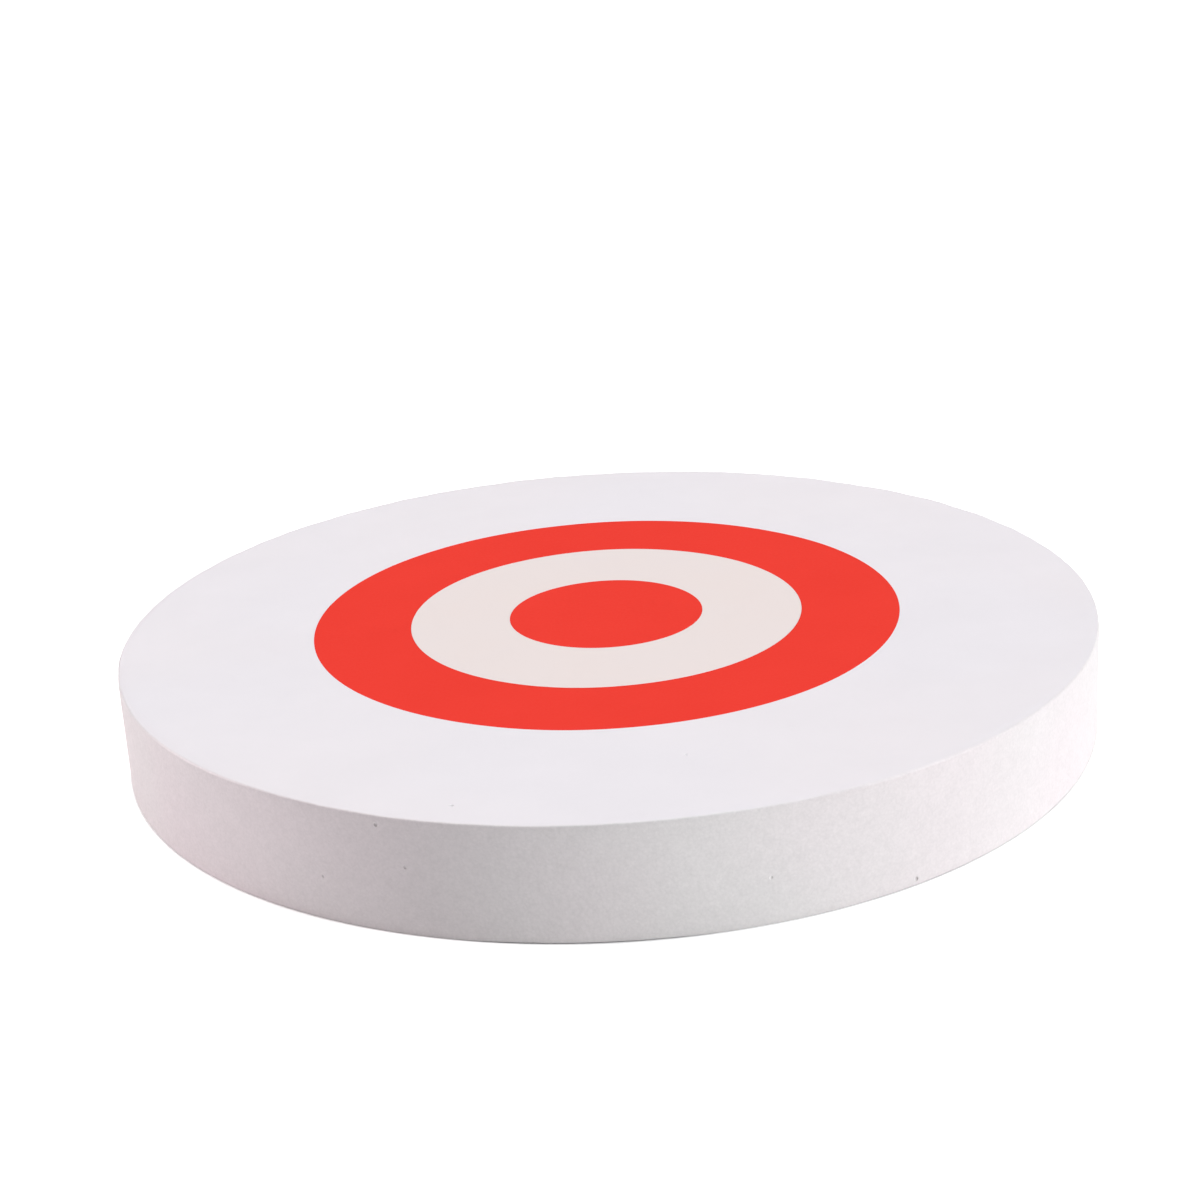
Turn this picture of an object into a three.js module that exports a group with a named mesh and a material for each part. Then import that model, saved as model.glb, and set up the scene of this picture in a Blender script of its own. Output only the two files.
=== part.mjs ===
// Foam archery boss, lying on its back with the face up.
// Millimetres, +Z up. The origin is the centre of the flat back, and +Z comes out of the face.
//
// The boss is a thick round of closed-cell foam that stops the arrows by friction.
// A bullseye of three die-cut pieces of thin film is pressed flush into its face.

import * as THREE from "three";

// The foam round. The rounding is that of both rims, where face and back meet the cut side.
const roundDiameter = 450;
const roundThickness = 50;
const rimRounding = 1;

// The bullseye, from its middle outwards: a disc, then the widths of the two rings round it.
// The gap is the hairline between two neighbours, and between the last ring and the foam.
const centreDiameter = 90;
const creamWidth = 46;
const redWidth = 45;
const filmThickness = 0.3;
const filmGap = 0.1;

// Facets round the axis, and along the quarter circle of a rim.
const turnFacets = 144;
const rimFacets = 4;

// Edges between the zones of the bullseye, as distances from the axis.
const centreEdge = centreDiameter / 2;
const creamEdge = centreEdge + creamWidth;
const redEdge = creamEdge + redWidth;

// The film lies on the floor of its seat with its top flush with the face.
const faceHeight = roundThickness;
const seatHeight = faceHeight - filmThickness;

const foamWhite = new THREE.MeshStandardMaterial({ color: 0xeee8ec, roughness: 0.85, metalness: 0 });
const filmRed = new THREE.MeshStandardMaterial({ color: 0xef4138, roughness: 0.55, metalness: 0 });
const filmCream = new THREE.MeshStandardMaterial({ color: 0xece1de, roughness: 0.55, metalness: 0 });

// Turns a profile about the axis into a closed solid that stands along +Z.
// The profile is a list of [distance from the axis, height], running up its outer wall.
function turned(name, material, profile) {
  const points = profile.map(([distance, height]) => new THREE.Vector2(distance, height));
  const geometry = new THREE.LatheGeometry(points, turnFacets);
  geometry.rotateX(Math.PI / 2);
  const mesh = new THREE.Mesh(geometry, material);
  mesh.name = name;
  return mesh;
}

// The quarter circle of a rim, from one angle to another above the horizontal.
function rimArc(height, fromAngle, toAngle) {
  const distance = roundDiameter / 2 - rimRounding;
  return Array.from({ length: rimFacets + 1 }, (_, i) => {
    const angle = fromAngle + ((toAngle - fromAngle) * i) / rimFacets;
    return [distance + rimRounding * Math.cos(angle), height + rimRounding * Math.sin(angle)];
  });
}

// A round cut square from a slab, with its two rims eased and a seat in its face for the film.
function foamRound() {
  const seatWall = redEdge + filmGap / 2;
  return turned("foam_round", foamWhite, [
    [0, 0],
    ...rimArc(rimRounding, -Math.PI / 2, 0),
    ...rimArc(faceHeight - rimRounding, 0, Math.PI / 2),
    [seatWall, faceHeight],
    [seatWall, seatHeight],
    [0, seatHeight],
  ]);
}

// The middle of the bullseye.
function filmDisc(name, material, outerEdge) {
  const outer = outerEdge - filmGap / 2;
  return turned(name, material, [
    [0, seatHeight],
    [outer, seatHeight],
    [outer, faceHeight],
    [0, faceHeight],
  ]);
}

// A ring of the bullseye, between two edges of its zones. Its profile closes on itself.
function filmRing(name, material, innerEdge, outerEdge) {
  const inner = innerEdge + filmGap / 2;
  const outer = outerEdge - filmGap / 2;
  return turned(name, material, [
    [inner, seatHeight],
    [outer, seatHeight],
    [outer, faceHeight],
    [inner, faceHeight],
    [inner, seatHeight],
  ]);
}

const boss = new THREE.Group();
boss.add(
  foamRound(),
  filmRing("outer_ring_red", filmRed, creamEdge, redEdge),
  filmRing("middle_ring_cream", filmCream, centreEdge, creamEdge),
  filmDisc("centre_disc_red", filmRed, centreEdge),
);

export default boss;
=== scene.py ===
import math

import bpy
from mathutils import Matrix, Vector


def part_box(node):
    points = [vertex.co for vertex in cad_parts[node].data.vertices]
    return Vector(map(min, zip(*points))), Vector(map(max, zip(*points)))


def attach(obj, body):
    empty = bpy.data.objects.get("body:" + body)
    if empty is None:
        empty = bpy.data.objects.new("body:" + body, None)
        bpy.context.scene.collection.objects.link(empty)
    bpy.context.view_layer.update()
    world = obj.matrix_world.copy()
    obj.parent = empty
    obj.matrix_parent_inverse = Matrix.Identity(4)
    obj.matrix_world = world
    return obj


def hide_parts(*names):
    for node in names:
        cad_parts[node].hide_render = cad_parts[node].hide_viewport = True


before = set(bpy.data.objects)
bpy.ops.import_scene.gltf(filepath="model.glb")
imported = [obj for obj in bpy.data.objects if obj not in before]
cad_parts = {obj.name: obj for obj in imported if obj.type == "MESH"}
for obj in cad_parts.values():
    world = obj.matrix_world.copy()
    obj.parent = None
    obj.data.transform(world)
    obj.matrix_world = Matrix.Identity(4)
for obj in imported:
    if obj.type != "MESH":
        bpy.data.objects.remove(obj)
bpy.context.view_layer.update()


# The foam round: a disc cut with a blade from a thick sheet of white closed-cell foam.
# Face and back are the sheet's smooth skin, the side is the open cut, and both rims are eased.
# It stops and holds the arrows by itself. The bullseye's film is pressed into its face.
foam_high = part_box("foam_round")[1]
film_low, film_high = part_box("outer_ring_red")
foam_radius = foam_high.x
foam_thickness = foam_high.z
rim_rounding = 0.001
foot_rounding = 0.0003

# The seat for the film is as deep as the film is thick, with half a hairline gap all round.
film_gap = 0.0001
seat_radius = film_high.x + film_gap / 2
seat_height = film_low.z

# The turned mesh: its facets, the steps of a rounded rim, the spacing of its rows on the side,
# the face, the back and in the seat, and extra rows close to a rim.
foam_facets = 840
rim_steps = 8
side_step = 0.0025
face_step = 0.0055
back_step = face_step * 1.6
seat_step = 0.012
near_rim_steps = (0.0003, 0.0008, 0.0016, 0.003)

# The waves of the face: how high they are, and how far from one to the next.
wave_height = 0.00022
wave_length = 0.11

# Wear of the rims: its depth, the length of a dent, how far from the corner it is full and where
# it ends, and the share of it that the sharper foot gets.
rim_wear = 0.00022
rim_wear_length = 0.014
rim_wear_full = 0.0006
rim_wear_end = 0.0035
foot_wear_share = 0.3

# Stretches of the foot that stand a hair off the ground and show as a dark line: the angle round
# the axis at the middle, half the width in degrees, and the gap's height at the rim. The middle
# share of a stretch has the whole height. A gap reaches this far inwards and this far up.
foot_gaps = [
    (266.0, 14.0, 0.00034),
    (302.5, 7.0, 0.00005),
    (8.0, 22.0, 0.00028),
    (72.0, 18.0, 0.00030),
    (148.0, 11.0, 0.00020),
]
foot_gap_middle_share = 0.3
foot_gap_reach = 0.03
foot_gap_rise = 0.004

# Pinholes that show, where a bubble was cut open: on the side by the angle round the axis and
# the height, on the face by their place. Then come the bubble's radius, and how far outside the
# surface its middle lies, as a share of that radius.
side_pinholes = [
    (284.6, 0.0199, 0.00115, 0.70),
    (300.9, 0.0028, 0.00115, 0.36),
    (245.7, 0.0459, 0.00120, 0.55),
    (248.5, 0.0292, 0.00110, 0.62),
    (238.8, 0.0189, 0.00110, 0.72),
]
face_pinholes = [
    (-0.0634, -0.2008, 0.00145, 0.57),
    (0.0286, -0.1663, 0.00140, 0.66),
]

# Pinholes scattered over the rear half of the side and over the back: how far out their bubbles'
# middles lie, as a share of the radius, how many there are, and the seed that places them.
pinhole_lift = 0.5
side_pinholes_per_m2 = 140.0
back_pinholes_per_m2 = 45.0
pinhole_seed = 11


def add_node(tree, kind, inputs=None, **settings):
    """Adds a node. Each input gets a value, or is linked from another node's socket."""
    made = tree.nodes.new(kind)
    for name, value in settings.items():
        setattr(made, name, value)
    for name, value in (inputs or {}).items():
        if isinstance(value, bpy.types.NodeSocket):
            tree.links.new(value, made.inputs[name])
        else:
            made.inputs[name].default_value = value
    return made


def math_node(tree, operation, *values):
    """A Math node of up to three values or sockets. Gives its result."""
    inputs = dict(enumerate(values))
    return add_node(tree, "ShaderNodeMath", inputs, operation=operation).outputs[0]


def vector_math(tree, operation, inputs, output="Vector"):
    """A Vector Math node. Gives one of its results."""
    return add_node(tree, "ShaderNodeVectorMath", inputs, operation=operation).outputs[output]


def vector_of(tree, **parts):
    """A vector of the given parts, with 0 for the others."""
    return add_node(tree, "ShaderNodeCombineXYZ", parts).outputs[0]


def parts_of(tree, vector):
    """The parts X, Y and Z of a vector."""
    return add_node(tree, "ShaderNodeSeparateXYZ", {0: vector}).outputs


def ranged(tree, value, low, high, to_low=0.0, to_high=1.0, smooth=False):
    """Maps a value from one range to another."""
    kind = "SMOOTHSTEP" if smooth else "LINEAR"
    ends = {"From Min": low, "From Max": high, "To Min": to_low, "To Max": to_high}
    inputs = {"Value": value, **ends}
    return add_node(tree, "ShaderNodeMapRange", inputs, interpolation_type=kind).outputs[0]


def compared(tree, value, operation, limit):
    """Whether a value is below or above a limit."""
    inputs = {0: value, 1: limit}
    return add_node(tree, "FunctionNodeCompare", inputs, operation=operation).outputs[0]


def noise_of(tree, place, size, detail, roughness):
    """Smooth noise from 0 to 1, with lumps of about the given size."""
    inputs = {
        "Vector": place,
        "Scale": math_node(tree, "DIVIDE", 1.0, size),
        "Detail": detail,
        "Roughness": roughness,
    }
    return add_node(tree, "ShaderNodeTexNoise", inputs).outputs[0]


def new_tree(name, kind, inputs, outputs):
    """A node group. Each of its sockets is given by its kind, or by a number to start from.
    Gives the tree, the sockets of its input node and those of its output node."""
    tree = bpy.data.node_groups.new(name, kind)
    for side, sockets in (("INPUT", inputs), ("OUTPUT", outputs)):
        for label, start in sockets.items():
            number_kind = "Int" if isinstance(start, int) else "Float"
            socket_kind = start if isinstance(start, str) else number_kind
            socket = tree.interface.new_socket(
                label, in_out=side, socket_type=f"NodeSocket{socket_kind}"
            )
            if not isinstance(start, str):
                socket.default_value = start
    given = tree.nodes.new("NodeGroupInput").outputs
    result = tree.nodes.new("NodeGroupOutput").inputs
    return tree, given, result


def inner_tree(tree, inner, given, labels, **more):
    """Runs one geometry tree inside another, with the outer one's inputs of the same names."""
    inputs = {label: given[label] for label in labels}
    return add_node(tree, "GeometryNodeGroup", {**inputs, **more}, node_tree=inner).outputs[0]


def spaced(start, end, step, ends=()):
    """Distances from start to end in about equal steps, with extra ones close to both ends."""
    count = max(1, round(abs(end - start) / step))
    whole = [start + (end - start) * i / count for i in range(count + 1)]
    sign = math.copysign(1, end - start)
    near = [start + sign * e for e in ends] + [end - sign * e for e in ends]
    return sorted(set(whole + near), reverse=end < start)


def line_mesh(name, points, closed=False):
    """A mesh of points joined in a row. Each point is a distance from the axis and a height."""
    mesh = bpy.data.meshes.new(name)
    edges = [(i, i + 1) for i in range(len(points) - 1)]
    if closed:
        edges.append((len(points) - 1, 0))
    mesh.from_pydata([(distance, 0, height) for distance, height in points], edges, [])
    made = bpy.data.objects.new(name, mesh)
    bpy.context.scene.collection.objects.link(made)
    return made


def grown(name, base, tree, values):
    """Runs a geometry tree on a base object and gives the result as a plain mesh piece."""
    modifier = base.modifiers.new(tree.name, "NODES")
    modifier.node_group = tree
    sockets = [item for item in tree.interface.items_tree if item.in_out == "INPUT"]
    identifiers = {socket.name: socket.identifier for socket in sockets}
    for label, value in values.items():
        modifier[identifiers[label]] = value
    evaluated = base.evaluated_get(bpy.context.evaluated_depsgraph_get())
    mesh = bpy.data.meshes.new_from_object(evaluated)
    mesh.name = name
    mesh.materials.clear()
    mesh.materials.append(values["Material"])
    mesh.polygons.foreach_set("material_index", [0] * len(mesh.polygons))
    base.modifiers.remove(modifier)
    bpy.data.objects.remove(base)
    piece = bpy.data.objects.new(name, mesh)
    bpy.context.scene.collection.objects.link(piece)
    return piece


# Turns a profile about the axis, as a blade goes round the disc. The profile runs from the face
# to the back, so that the faces point outwards. Points that fall together on the axis are merged.
merge_distance = 1e-5
turned, given, result = new_tree(
    "turned_profile",
    "GeometryNodeTree",
    {"Profile": "Geometry", "Radius": 0.1, "Facets": 64},
    {"Solid": "Geometry"},
)
place = add_node(turned, "GeometryNodeInputPosition").outputs[0]
split = parts_of(turned, place)
flat = vector_of(
    turned,
    X=math_node(turned, "SUBTRACT", split["X"], given["Radius"]),
    Y=math_node(turned, "MULTIPLY", split["Z"], -1.0),
)
laid = add_node(turned, "GeometryNodeSetPosition", {"Geometry": given["Profile"], "Position": flat})
line = add_node(turned, "GeometryNodeMeshToCurve", {0: laid.outputs[0]})
path = add_node(
    turned,
    "GeometryNodeCurvePrimitiveCircle",
    {"Resolution": given["Facets"], "Radius": given["Radius"]},
)
swept = add_node(
    turned,
    "GeometryNodeCurveToMesh",
    {"Curve": path.outputs["Curve"], "Profile Curve": line.outputs[0]},
)
closed = add_node(
    turned, "GeometryNodeMergeByDistance", {0: swept.outputs[0], "Distance": merge_distance}
)
turned.links.new(closed.outputs[0], result["Solid"])

# The slight waves that a face of foam has. They fade to nothing at the back, which lies flat.
# The noise strays by about a quarter from its middle, so four times that is a wave's height.
noise_middle = 0.5
noise_to_wave = 4.0
waves, given, result = new_tree(
    "face_waves",
    "GeometryNodeTree",
    {"Solid": "Geometry", "Thickness": 0.05, "Wave Height": 0.0002, "Wave Length": 0.1},
    {"Solid": "Geometry"},
)
place = add_node(waves, "GeometryNodeInputPosition").outputs[0]
split = parts_of(waves, place)
level = vector_of(waves, X=split["X"], Y=split["Y"])
swell = noise_of(waves, level, given["Wave Length"], detail=1.0, roughness=0.4)
share = math_node(waves, "DIVIDE", split["Z"], given["Thickness"])
stray = math_node(waves, "SUBTRACT", swell, noise_middle)
rise = math_node(waves, "MULTIPLY", stray, given["Wave Height"])
whole_rise = math_node(waves, "MULTIPLY", rise, noise_to_wave)
lift = vector_of(waves, Z=math_node(waves, "MULTIPLY", whole_rise, share))
waved = add_node(waves, "GeometryNodeSetPosition", {"Geometry": given["Solid"], "Offset": lift})
waves.links.new(waved.outputs[0], result["Solid"])


def end_tree(tree, geometry, given, result, sharp_angle=0.6):
    """Shades a tree's result smooth up to its sharp edges, realizes it and sets its material."""
    edge = add_node(tree, "GeometryNodeInputMeshEdgeAngle").outputs["Unsigned Angle"]
    soft = compared(tree, edge, "LESS_THAN", sharp_angle)
    shaded = geometry
    for domain, smooth in (("FACE", True), ("EDGE", soft)):
        inputs = {"Geometry": shaded, "Shade Smooth": smooth}
        shaded = add_node(tree, "GeometryNodeSetShadeSmooth", inputs, domain=domain).outputs[0]
    real = add_node(tree, "GeometryNodeRealizeInstances", {0: shaded})
    dressed = add_node(
        tree,
        "GeometryNodeSetMaterial",
        {"Geometry": real.outputs[0], "Material": given["Material"]},
    )
    tree.links.new(dressed.outputs[0], result["Piece"])


# The foam round itself: turned, made a little uneven, worn at its rims and opened by pinholes.
round_tree, given, result = new_tree(
    "foam_round_tree",
    "GeometryNodeTree",
    {
        "Profile": "Geometry",
        "Radius": 0.225,
        "Thickness": 0.05,
        "Facets": 900,
        "Wave Height": 0.0002,
        "Wave Length": 0.1,
        "Rim Wear": 0.0002,
        "Rim Wear Length": 0.014,
        "Foot Reach": 0.03,
        "Pinhole Marks": "Object",
        "Side Pinholes": 100.0,
        "Back Pinholes": 20.0,
        "Smallest Pinhole": 0.0004,
        "Largest Pinhole": 0.0010,
        "Pinhole Lift": 0.5,
        "Seed": 7,
        "Material": "Material",
    },
    {"Piece": "Geometry"},
)
solid = inner_tree(round_tree, turned, given, ("Profile", "Radius", "Facets"))
wavy = inner_tree(
    round_tree, waves, given, ("Thickness", "Wave Height", "Wave Length"), Solid=solid
)

# The foot's gaps: the lowest few millimetres of the side rise a little, and the back with them.
place = add_node(round_tree, "GeometryNodeInputPosition").outputs[0]
split = parts_of(round_tree, place)
level = vector_of(round_tree, X=split["X"], Y=split["Y"])
distance = vector_math(round_tree, "LENGTH", {0: level}, "Value")
ray = vector_math(round_tree, "NORMALIZE", {0: level})
inner_end = math_node(round_tree, "SUBTRACT", given["Radius"], given["Foot Reach"])
foot = math_node(
    round_tree,
    "MULTIPLY",
    ranged(round_tree, split["Z"], 0.0, foot_gap_rise, 1.0, 0.0, smooth=True),
    ranged(round_tree, distance, inner_end, given["Radius"], smooth=True),
)
gap = 0.0
for angle, half_width, height in foot_gaps:
    turn = math.radians(angle)
    middle = (math.cos(turn), math.sin(turn), 0.0)
    along = vector_math(round_tree, "DOT_PRODUCT", {0: ray, 1: middle}, "Value")
    ends = math.cos(math.radians(half_width))
    full = math.cos(math.radians(half_width * foot_gap_middle_share))
    stretch = ranged(round_tree, along, ends, full, 0.0, height, smooth=True)
    gap = math_node(round_tree, "ADD", stretch, gap)
arched = vector_of(round_tree, Z=math_node(round_tree, "MULTIPLY", gap, foot))
stood = add_node(round_tree, "GeometryNodeSetPosition", {"Geometry": wavy, "Offset": arched})

# Rim wear: dents where the noise is high, only close to the corner between side and face or back.
# The foot's rim is sharper and less worn. A dent starts at one level of the noise and has its
# whole depth, given in shares of the rim wear, at another.
dent_start = 0.35
dent_full = 0.7
dent_depth_share = -1.6
from_side = math_node(round_tree, "SUBTRACT", given["Radius"], distance)
from_face = math_node(round_tree, "SUBTRACT", given["Thickness"], split["Z"])
from_skin = math_node(round_tree, "MINIMUM", split["Z"], from_face)
corner = math_node(
    round_tree,
    "SQRT",
    math_node(
        round_tree,
        "ADD",
        math_node(round_tree, "MULTIPLY", from_side, from_side),
        math_node(round_tree, "MULTIPLY", from_skin, from_skin),
    ),
)
near_rim = math_node(
    round_tree,
    "MULTIPLY",
    ranged(round_tree, corner, rim_wear_full, rim_wear_end, 1.0, 0.0, smooth=True),
    ranged(round_tree, split["Z"], 0.0, given["Thickness"], foot_wear_share, 1.0),
)
dents = noise_of(round_tree, place, given["Rim Wear Length"], detail=2.0, roughness=0.55)
dent = math_node(
    round_tree,
    "MULTIPLY",
    math_node(round_tree, "MULTIPLY", near_rim, given["Rim Wear"]),
    ranged(round_tree, dents, dent_start, dent_full, 0.0, dent_depth_share),
)
outwards = add_node(round_tree, "GeometryNodeInputNormal").outputs[0]
inwards = vector_math(round_tree, "SCALE", {0: outwards, "Scale": dent})
worn = add_node(
    round_tree, "GeometryNodeSetPosition", {"Geometry": stood.outputs[0], "Offset": inwards}
).outputs[0]

# Pinholes: the marked ones, and scattered ones on the back and on the rear half of the side.
# The upward part of the surface's normal tells the back, where it is almost -1, and the side,
# where it is almost 0.
back_normal = -0.9
side_normal = 0.1
normal = parts_of(round_tree, outwards)
on_back = compared(round_tree, normal["Z"], "LESS_THAN", back_normal)
upright = math_node(round_tree, "ABSOLUTE", normal["Z"])
on_side = compared(round_tree, upright, "LESS_THAN", side_normal)
at_rear = compared(round_tree, split["Y"], "GREATER_THAN", 0.0)
rear_side = add_node(
    round_tree, "FunctionNodeBooleanMath", {0: on_side, 1: at_rear}, operation="AND"
).outputs[0]
density = math_node(
    round_tree,
    "ADD",
    math_node(round_tree, "MULTIPLY", on_back, given["Back Pinholes"]),
    math_node(round_tree, "MULTIPLY", rear_side, given["Side Pinholes"]),
)
scattered = add_node(
    round_tree,
    "GeometryNodeDistributePointsOnFaces",
    {"Mesh": worn, "Density": density, "Seed": given["Seed"]},
)
random_size = add_node(
    round_tree,
    "FunctionNodeRandomValue",
    {"Min": given["Smallest Pinhole"], "Max": given["Largest Pinhole"], "Seed": given["Seed"]},
    data_type="FLOAT",
).outputs["Value"]
raise_by = math_node(round_tree, "MULTIPLY", random_size, given["Pinhole Lift"])
lifted = vector_math(round_tree, "SCALE", {0: scattered.outputs["Normal"], "Scale": raise_by})
raised = add_node(
    round_tree,
    "GeometryNodeSetPosition",
    {"Geometry": scattered.outputs["Points"], "Offset": lifted},
)
marks = add_node(round_tree, "GeometryNodeObjectInfo", {"Object": given["Pinhole Marks"]})
mark_points = add_node(
    round_tree, "GeometryNodeMeshToPoints", {"Mesh": marks.outputs["Geometry"]}
)
mark_size = add_node(
    round_tree, "GeometryNodeInputNamedAttribute", {"Name": "pinhole_radius"}, data_type="FLOAT"
).outputs["Attribute"]
bubble = add_node(round_tree, "GeometryNodeMeshIcoSphere", {"Radius": 1.0, "Subdivisions": 3})
opened = add_node(
    round_tree,
    "GeometryNodeMeshBoolean",
    {0: worn},
    operation="DIFFERENCE",
    solver="MANIFOLD",
)
for points, size in ((mark_points.outputs[0], mark_size), (raised.outputs[0], random_size)):
    placed = add_node(
        round_tree,
        "GeometryNodeInstanceOnPoints",
        {"Points": points, "Instance": bubble.outputs["Mesh"], "Scale": size},
    )
    bubbles = add_node(round_tree, "GeometryNodeRealizeInstances", {0: placed.outputs[0]})
    round_tree.links.new(bubbles.outputs[0], opened.inputs[1])
end_tree(round_tree, opened.outputs["Mesh"], given, result)


# Effects that more than one material uses. The cells are those of the foam, fine and rounded.
# The film lies on them and lets them show a little. The warmth's noise is moved aside, which sets
# where the warm stretches fall.
warmth_offset = (-3.3, -0.3, -3.1)
cells_group, given, result = new_tree(
    "foam_cells",
    "ShaderNodeTree",
    {
        "Cell Size": 0.002,
        "Grain Size": 0.0007,
        "Lump Size": 0.007,
        "Patch Size": 0.03,
        "Tint Size": 0.11,
    },
    {"Cells": "Float", "Grain": "Float", "Lumps": "Float", "Patches": "Float", "Warmth": "Float"},
)
place = add_node(cells_group, "ShaderNodeTexCoord").outputs["Object"]
cell = add_node(
    cells_group,
    "ShaderNodeTexVoronoi",
    {
        "Vector": place,
        "Scale": math_node(cells_group, "DIVIDE", 1.0, given["Cell Size"]),
        "Smoothness": 0.7,
        "Randomness": 1.0,
    },
    feature="SMOOTH_F1",
).outputs["Distance"]
cells_group.links.new(math_node(cells_group, "SUBTRACT", 1.0, cell), result["Cells"])
aside = vector_math(cells_group, "ADD", {0: place, 1: warmth_offset})
for label, size, where, detail, roughness in (
    ("Grain", "Grain Size", place, 3.0, 0.6),
    ("Lumps", "Lump Size", place, 1.0, 0.6),
    ("Patches", "Patch Size", place, 2.0, 0.6),
    ("Warmth", "Tint Size", aside, 1.0, 0.5),
):
    noise = noise_of(cells_group, where, given[size], detail, roughness)
    cells_group.links.new(noise, result[label])


def new_material(name):
    """A material with its shader made. Gives the material, its tree and the shader node."""
    made = bpy.data.materials.new(name)
    made.use_nodes = True
    return made, made.node_tree, made.node_tree.nodes["Principled BSDF"]


def mixed(tree, share, first, second):
    """Mixes two colours, each a value or a socket."""
    inputs = {0: share, 6: first, 7: second}
    return add_node(tree, "ShaderNodeMix", inputs, data_type="RGBA", blend_type="MIX").outputs[2]


def bumped(tree, shader, height, strength, depth):
    """Gives a shader a relief whose height changes over the surface."""
    inputs = {"Strength": strength, "Distance": depth, "Height": height}
    bump = add_node(tree, "ShaderNodeBump", inputs)
    tree.links.new(bump.outputs[0], shader.inputs["Normal"])


# White closed-cell foam. The skin of face and back is smooth and cool, the cut side grainier
# and a little warmer, and shifts slowly from a neutral to a warm white. The face's rim is pressed
# smoother by the blade, so it catches the light.
skin_white = (0.851, 0.815, 0.842, 1)
skin_warm = (0.858, 0.815, 0.836, 1)
cut_white = (0.856, 0.824, 0.821, 1)
cut_warm = (0.880, 0.813, 0.826, 1)

# How far in from the side the skin is whole and the cut is bare, in shares of the rim's rounding.
skin_whole_share = 1.2
cut_bare_share = 0.3

# Where the pressed rim starts and is smoothest: in from the side, and down from the face.
pressed_side_start = 0.0011
pressed_side_full = 0.0006
pressed_face_start = 0.0014
pressed_face_full = 0.0008

# The stretch of each pattern's values that the foam's looks use. That of the grain also serves
# the lumps.
warmth_span = (0.35, 0.65)
patch_span = (0.3, 0.7)
grain_span = (0.25, 0.75)
wall_span = (0.3, 0.9)

# Darkest and lightest tone of the mottle, strength of the specks on skin and cut, and how much
# the cells' walls and the lumps count in them, where the grain counts whole.
mottle_tones = (0.990, 1.010)
speck_strengths = (0.0045, 0.039)
wall_share = 0.5
lump_share = 0.4

# Roughness and relief of skin and cut, the grain's share of both, and what the pressed rim keeps.
foam_roughness = (0.72, 0.9)
foam_relief = (0.10, 0.6)
grain_roughness_share = 0.04
grain_relief_share = 0.6
pressed_roughness_share = 0.38
pressed_relief_share = 0.2
foam_relief_strength = 0.5
foam_relief_depth = 0.00015
foam_gloss = 0.3

foam_white, tree, shader = new_material("boss_white_foam")
cells = add_node(
    tree,
    "ShaderNodeGroup",
    {"Cell Size": 0.0016, "Grain Size": 0.0010, "Lump Size": 0.005, "Patch Size": 0.04},
    node_tree=cells_group,
).outputs
split = parts_of(tree, add_node(tree, "ShaderNodeTexCoord").outputs["Object"])
level = vector_of(tree, X=split["X"], Y=split["Y"])
distance = vector_math(tree, "LENGTH", {0: level}, "Value")
skin_end = foam_radius - rim_rounding * skin_whole_share
cut_start = foam_radius - rim_rounding * cut_bare_share
cut = ranged(tree, distance, skin_end, cut_start, smooth=True)
pressed_start = foam_radius - pressed_side_start
pressed_full = foam_radius - pressed_side_full
pressed_low = foam_thickness - pressed_face_start
pressed_high = foam_thickness - pressed_face_full
pressed = math_node(
    tree,
    "MULTIPLY",
    ranged(tree, distance, pressed_start, pressed_full, smooth=True),
    ranged(tree, split["Z"], pressed_low, pressed_high, smooth=True),
)

# Colour: the slow change of tint, and over it the mottle and the specks.
warmth = ranged(tree, cells["Warmth"], *warmth_span)
skin_colour = mixed(tree, warmth, skin_white, skin_warm)
cut_colour = mixed(tree, warmth, cut_white, cut_warm)
colour = mixed(tree, cut, skin_colour, cut_colour)
mottle = ranged(tree, cells["Patches"], *patch_span, *mottle_tones)
grain = ranged(tree, cells["Grain"], *grain_span, -1.0, 1.0)
lump = ranged(tree, cells["Lumps"], *grain_span, -1.0, 1.0)
wall = ranged(tree, cells["Cells"], *wall_span, -1.0, 1.0)
grain_and_walls = math_node(tree, "MULTIPLY_ADD", wall, wall_share, grain)
specks = math_node(tree, "MULTIPLY_ADD", lump, lump_share, grain_and_walls)
speck_strength = ranged(tree, cut, 0.0, 1.0, *speck_strengths)
speckled = math_node(tree, "MULTIPLY_ADD", specks, speck_strength, 1.0)
tone = math_node(tree, "MULTIPLY", mottle, speckled)
tinted = vector_math(tree, "SCALE", {0: colour, "Scale": tone})
tree.links.new(tinted, shader.inputs["Base Color"])

# Roughness and relief, both less on the pressed rim.
dull = math_node(
    tree,
    "ADD",
    ranged(tree, cut, 0.0, 1.0, *foam_roughness),
    math_node(tree, "MULTIPLY", grain, grain_roughness_share),
)
kept_roughness = ranged(tree, pressed, 0.0, 1.0, 1.0, pressed_roughness_share)
rough = math_node(tree, "MULTIPLY", dull, kept_roughness)
tree.links.new(rough, shader.inputs["Roughness"])
grain_height = math_node(tree, "MULTIPLY", cells["Grain"], grain_relief_share)
relief = math_node(
    tree,
    "MULTIPLY",
    math_node(tree, "ADD", cells["Cells"], grain_height),
    math_node(
        tree,
        "MULTIPLY",
        ranged(tree, cut, 0.0, 1.0, *foam_relief),
        ranged(tree, pressed, 0.0, 1.0, 1.0, pressed_relief_share),
    ),
)
bumped(tree, shader, relief, foam_relief_strength, foam_relief_depth)
shader.inputs["Specular IOR Level"].default_value = foam_gloss


def rim_arc(height, rounding, start, end):
    """Points of a rounded rim, from one angle above the horizontal to another, in degrees."""
    angles = [math.radians(start + (end - start) * i / rim_steps) for i in range(rim_steps + 1)]
    middle = foam_radius - rounding
    return [(middle + rounding * math.cos(a), height + rounding * math.sin(a)) for a in angles]


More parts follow.
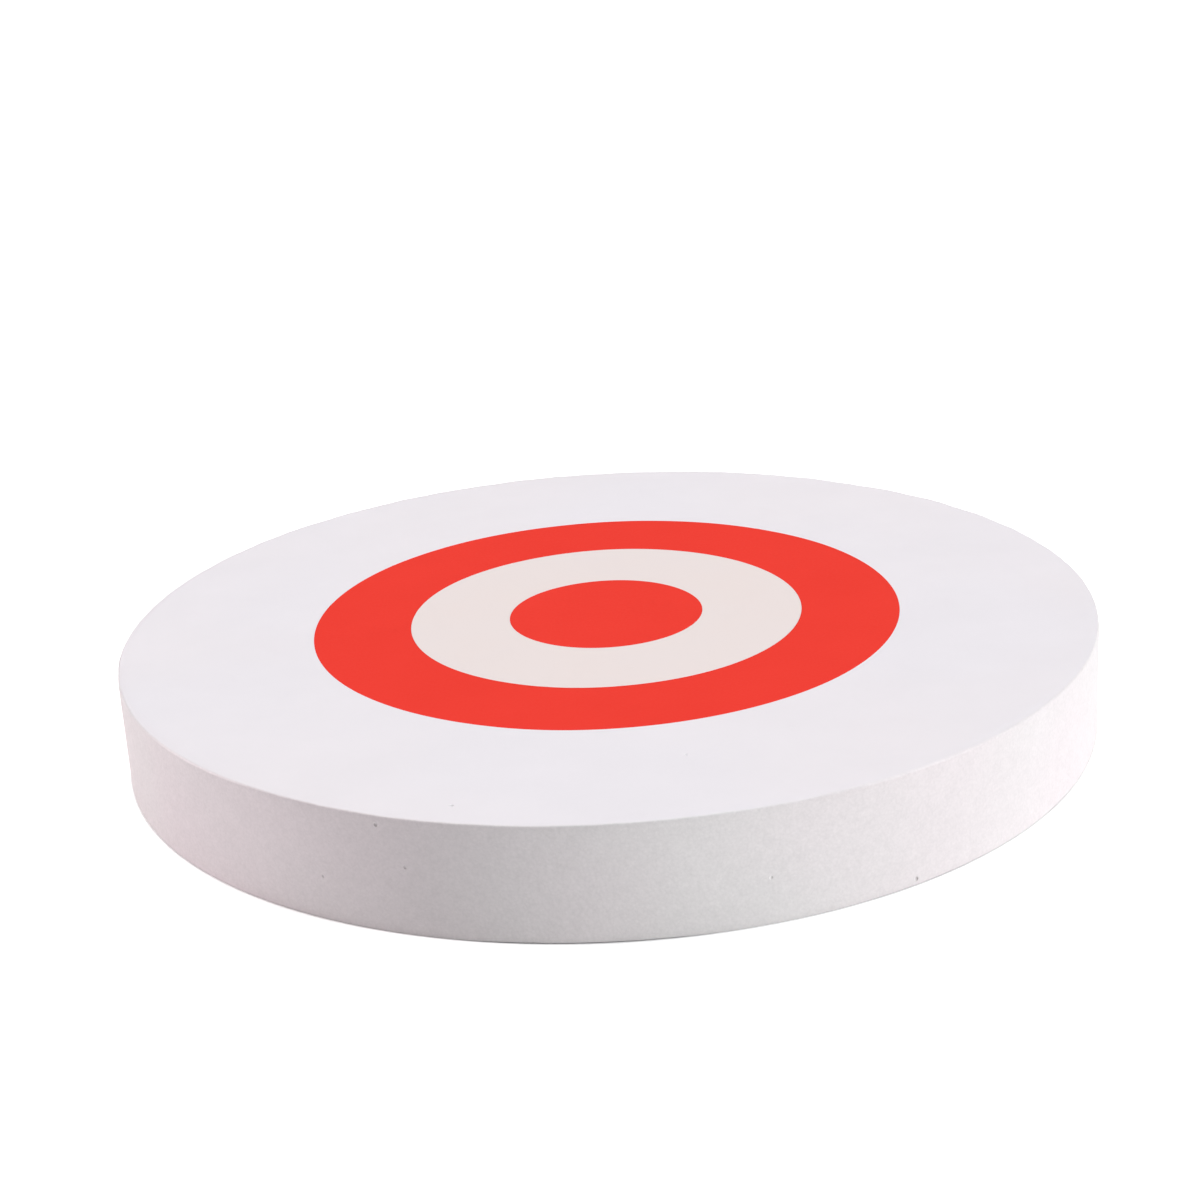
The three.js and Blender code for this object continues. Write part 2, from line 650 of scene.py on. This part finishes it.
# The profile of the round, from the middle of the seat out over the face and down to the back.
side_top = foam_thickness - rim_rounding
seat_rows = spaced(0, seat_radius, seat_step)
face_rows = spaced(seat_radius, foam_radius - rim_rounding, face_step, near_rim_steps)[:-1]
side_rows = spaced(side_top, foot_rounding, side_step, near_rim_steps)[1:-1]
back_rows = spaced(foam_radius - foot_rounding, 0, back_step, near_rim_steps)[1:]
round_profile = [
    *((r, seat_height) for r in seat_rows),
    *((r, foam_thickness) for r in face_rows),
    *rim_arc(side_top, rim_rounding, 90, 0),
    *((foam_radius, z) for z in side_rows),
    *rim_arc(foot_rounding, foot_rounding, 0, -90),
    *((r, 0) for r in back_rows),
]

# The middles of the marked pinholes' bubbles, each with its radius.
pinhole_mesh = bpy.data.meshes.new("pinhole_marks")
marked = []
for angle, height, radius, lift in side_pinholes:
    reach = foam_radius + radius * lift
    turn = math.radians(angle)
    marked.append((reach * math.cos(turn), reach * math.sin(turn), height))
for x, y, radius, lift in face_pinholes:
    marked.append((x, y, foam_thickness + radius * lift))
pinhole_mesh.from_pydata(marked, [], [])
pinhole_sizes = pinhole_mesh.attributes.new("pinhole_radius", "FLOAT", "POINT")
for entry, mark in zip(pinhole_sizes.data, side_pinholes + face_pinholes):
    entry.value = mark[2]
pinhole_marks = bpy.data.objects.new("pinhole_marks", pinhole_mesh)
bpy.context.scene.collection.objects.link(pinhole_marks)

boss_foam = grown(
    "boss_foam",
    line_mesh("boss_foam_profile", round_profile),
    round_tree,
    {
        "Radius": foam_radius,
        "Thickness": foam_thickness,
        "Facets": foam_facets,
        "Wave Height": wave_height,
        "Wave Length": wave_length,
        "Rim Wear": rim_wear,
        "Rim Wear Length": rim_wear_length,
        "Foot Reach": foot_gap_reach,
        "Pinhole Marks": pinhole_marks,
        "Side Pinholes": side_pinholes_per_m2,
        "Back Pinholes": back_pinholes_per_m2,
        "Pinhole Lift": pinhole_lift,
        "Seed": pinhole_seed,
        "Material": foam_white,
    },
)
bpy.data.objects.remove(pinhole_marks)
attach(boss_foam, "root")
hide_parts("foam_round")


# The bullseye: a red disc, a cream ring and a red ring, die-cut from thin matte film.
# They are pressed warm into the face one beside the other, with a hairline between neighbours,
# and lie flush with the white foam round them.
film_facets = 720
film_step = 0.006

film_tree, given, result = new_tree(
    "film_tree",
    "GeometryNodeTree",
    {
        "Profile": "Geometry",
        "Radius": 0.1,
        "Thickness": 0.05,
        "Facets": 720,
        "Wave Height": 0.0002,
        "Wave Length": 0.1,
        "Material": "Material",
    },
    {"Piece": "Geometry"},
)
cut_film = inner_tree(film_tree, turned, given, ("Profile", "Radius", "Facets"))
laid_film = inner_tree(
    film_tree, waves, given, ("Thickness", "Wave Height", "Wave Length"), Solid=cut_film
)
end_tree(film_tree, laid_film, given, result)

# The film's looks: the stretch of the patches' and the grain's values that it uses, its lowest
# and highest roughness, the grain's share in its relief, the relief's strength and depth, and the
# gloss.
film_span = (0.3, 0.7)
film_roughness = (0.52, 0.62)
film_grain_share = 0.5
film_relief_strength = 0.12
film_relief_depth = 0.0001
film_gloss = 0.05


def film_material(name, colour, shade):
    """Matte film that varies a little between two colours, with the foam's cells faintly in it."""
    made, tree, shader = new_material(name)
    cells = add_node(
        tree,
        "ShaderNodeGroup",
        {"Cell Size": 0.0021, "Grain Size": 0.0012, "Patch Size": 0.05},
        node_tree=cells_group,
    ).outputs
    patches = ranged(tree, cells["Patches"], *film_span)
    tree.links.new(mixed(tree, patches, colour, shade), shader.inputs["Base Color"])
    rough = ranged(tree, cells["Grain"], *film_span, *film_roughness)
    tree.links.new(rough, shader.inputs["Roughness"])
    grain_height = math_node(tree, "MULTIPLY", cells["Grain"], film_grain_share)
    relief = math_node(tree, "ADD", cells["Cells"], grain_height)
    bumped(tree, shader, relief, film_relief_strength, film_relief_depth)
    shader.inputs["Specular IOR Level"].default_value = film_gloss
    return made


red_film = film_material(
    "bullseye_red_film", (0.898, 0.0521, 0.0355, 1), (0.876, 0.0492, 0.0333, 1)
)
cream_film = film_material(
    "bullseye_cream_film", (0.855, 0.760, 0.730, 1), (0.850, 0.763, 0.739, 1)
)

# Each piece of film by its name, the CAD node that it stands for, the node inside it, its
# material and its slot.
for name, node, inside, material, slot in (
    ("bullseye_outer_ring", "outer_ring_red", "middle_ring_cream", red_film, "red_film"),
    ("bullseye_middle_ring", "middle_ring_cream", "centre_disc_red", cream_film, "cream_film"),
    ("bullseye_centre", "centre_disc_red", None, red_film, "red_film"),
):
    low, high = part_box(node)
    outer = high.x
    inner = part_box(inside)[1].x + film_gap if inside else 0.0
    rows = spaced(inner, outer, film_step)
    profile = [(r, high.z) for r in rows] + [(r, low.z) for r in reversed(rows)]
    film = grown(
        name,
        line_mesh(f"{name}_profile", profile, closed=bool(inside)),
        film_tree,
        {
            "Radius": outer,
            "Thickness": foam_thickness,
            "Facets": film_facets,
            "Wave Height": wave_height,
            "Wave Length": wave_length,
            "Material": material,
        },
    )
    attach(film, "root")
    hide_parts(node)


# The floor: a plain pale studio table, wide enough to fill the view. It is lit from below, which
# shows as pure white. In front, where the boss shades it, its glow keeps the foot of the side as
# light as the top.
floor_half_width = 9.0

# The table's white as the camera sees it, and as it lights the boss.
floor_seen = (1, 1, 1, 1)
floor_unseen = (0.9, 0.9, 0.9, 1)

# The light of the table that only the camera sees: its strength, how far inside the boss's side
# it starts, and how far outside it is full.
table_light = 0.45
table_light_inside = 0.0005
table_light_outside = 0.0012

# The glow that lights the boss: its strength, and how far outside the side it is full and ends.
# It is whole where a place lies squarely in front, and ends further round, by the share of the
# way to the place that runs backwards.
glow_strength = 0.20
glow_full = 0.002
glow_end = 0.022
glow_whole_share = -0.75
glow_end_share = -0.15

floor_corners = [
    (x * floor_half_width, y * floor_half_width, 0)
    for x, y in ((-1, -1), (1, -1), (1, 1), (-1, 1))
]
floor_mesh = bpy.data.meshes.new("floor")
floor_mesh.from_pydata(floor_corners, [], [(0, 1, 2, 3)])
floor = bpy.data.objects.new("floor", floor_mesh)
bpy.context.scene.collection.objects.link(floor)
floor_white, tree, shader = new_material("floor_white")
seen = add_node(tree, "ShaderNodeLightPath").outputs["Is Camera Ray"]
tree.links.new(mixed(tree, seen, floor_unseen, floor_seen), shader.inputs["Base Color"])
shader.inputs["Emission Color"].default_value = (1, 1, 1, 1)
spot = add_node(tree, "ShaderNodeTexCoord").outputs["Object"]
reach = vector_math(tree, "LENGTH", {0: spot}, "Value")
light_start = foam_radius - table_light_inside
light_full = foam_radius + table_light_outside
lit = ranged(tree, reach, light_start, light_full, 0.0, table_light, smooth=True)
full_at = foam_radius + glow_full
gone_at = foam_radius + glow_end
risen = ranged(tree, reach, foam_radius, full_at, 0.0, glow_strength, smooth=True)
faded = ranged(tree, reach, full_at, gone_at, 1.0, 0.0, smooth=True)
backwards = math_node(tree, "DIVIDE", parts_of(tree, spot)["Y"], reach)
in_front = ranged(tree, backwards, glow_whole_share, glow_end_share, 1.0, 0.0, smooth=True)
glow = math_node(tree, "MULTIPLY", math_node(tree, "MULTIPLY", risen, faded), in_front)
share = math_node(tree, "MULTIPLY", seen, math_node(tree, "SUBTRACT", lit, glow))
tree.links.new(math_node(tree, "ADD", glow, share), shader.inputs["Emission Strength"])
shader.inputs["Roughness"].default_value = 0.9
shader.inputs["Specular IOR Level"].default_value = 0.0
floor.data.materials.append(floor_white)


# Plain soft studio light: a low strong one on the right, a low one on the left, and a wide one
# almost overhead. Each is given by its compass angle, its height above the horizon, how wide it
# is, its colour and its strength.
studio_lights = [
    ("light_right", -20.0, 15.0, 20.0, (0.974, 0.993, 1.0), 2.25),
    ("light_left", 165.0, 15.0, 20.0, (1.0, 0.867, 0.897), 1.81),
    ("light_above", 90.0, 75.0, 60.0, (0.958, 0.985, 1.0), 2.32),
]
for name, angle, height, width, colour, strength in studio_lights:
    lamp = bpy.data.lights.new(name, "SUN")
    lamp.angle = math.radians(width)
    lamp.color = colour
    lamp.energy = strength
    light = bpy.data.objects.new(name, lamp)
    turn = math.radians(angle)
    rise = math.radians(height)
    towards = Vector(
        (math.cos(turn) * math.cos(rise), math.sin(turn) * math.cos(rise), math.sin(rise))
    )
    light.rotation_mode = "QUATERNION"
    light.rotation_quaternion = towards.to_track_quat("Z", "Y")
    bpy.context.scene.collection.objects.link(light)

# Behind the table the camera sees plain white, which lights nothing.
world = bpy.data.worlds.new("studio")
world.use_nodes = True
background = world.node_tree.nodes["Background"]
background.inputs["Color"].default_value = (1, 1, 1, 1)
behind = add_node(world.node_tree, "ShaderNodeLightPath").outputs["Is Camera Ray"]
world.node_tree.links.new(behind, background.inputs["Strength"])
bpy.context.scene.world = world
bpy.context.scene.view_settings.view_transform = "Standard"


# The camera of the photograph: about 20 degrees above the floor, with a slight roll.
camera_distance = 1.04427
camera_elevation = math.radians(20.449)
camera_yaw = math.radians(0.134)
camera_pitch = math.radians(0.336)
camera_roll = math.radians(3.407)
camera_data = bpy.data.cameras.new("camera")
camera_data.lens = 67.07
camera_data.sensor_width = 36.0
camera = bpy.data.objects.new("camera", camera_data)
bpy.context.scene.collection.objects.link(camera)
camera.rotation_mode = "QUATERNION"
camera.location = (
    0,
    -camera_distance * math.cos(camera_elevation),
    foam_thickness + camera_distance * math.sin(camera_elevation),
)
camera.rotation_quaternion = (
    Matrix.Rotation(math.pi / 2 - camera_elevation, 3, "X")
    @ Matrix.Rotation(camera_yaw, 3, "Y")
    @ Matrix.Rotation(camera_pitch, 3, "X")
    @ Matrix.Rotation(-camera_roll, 3, "Z")
).to_quaternion()
bpy.context.scene.camera = camera
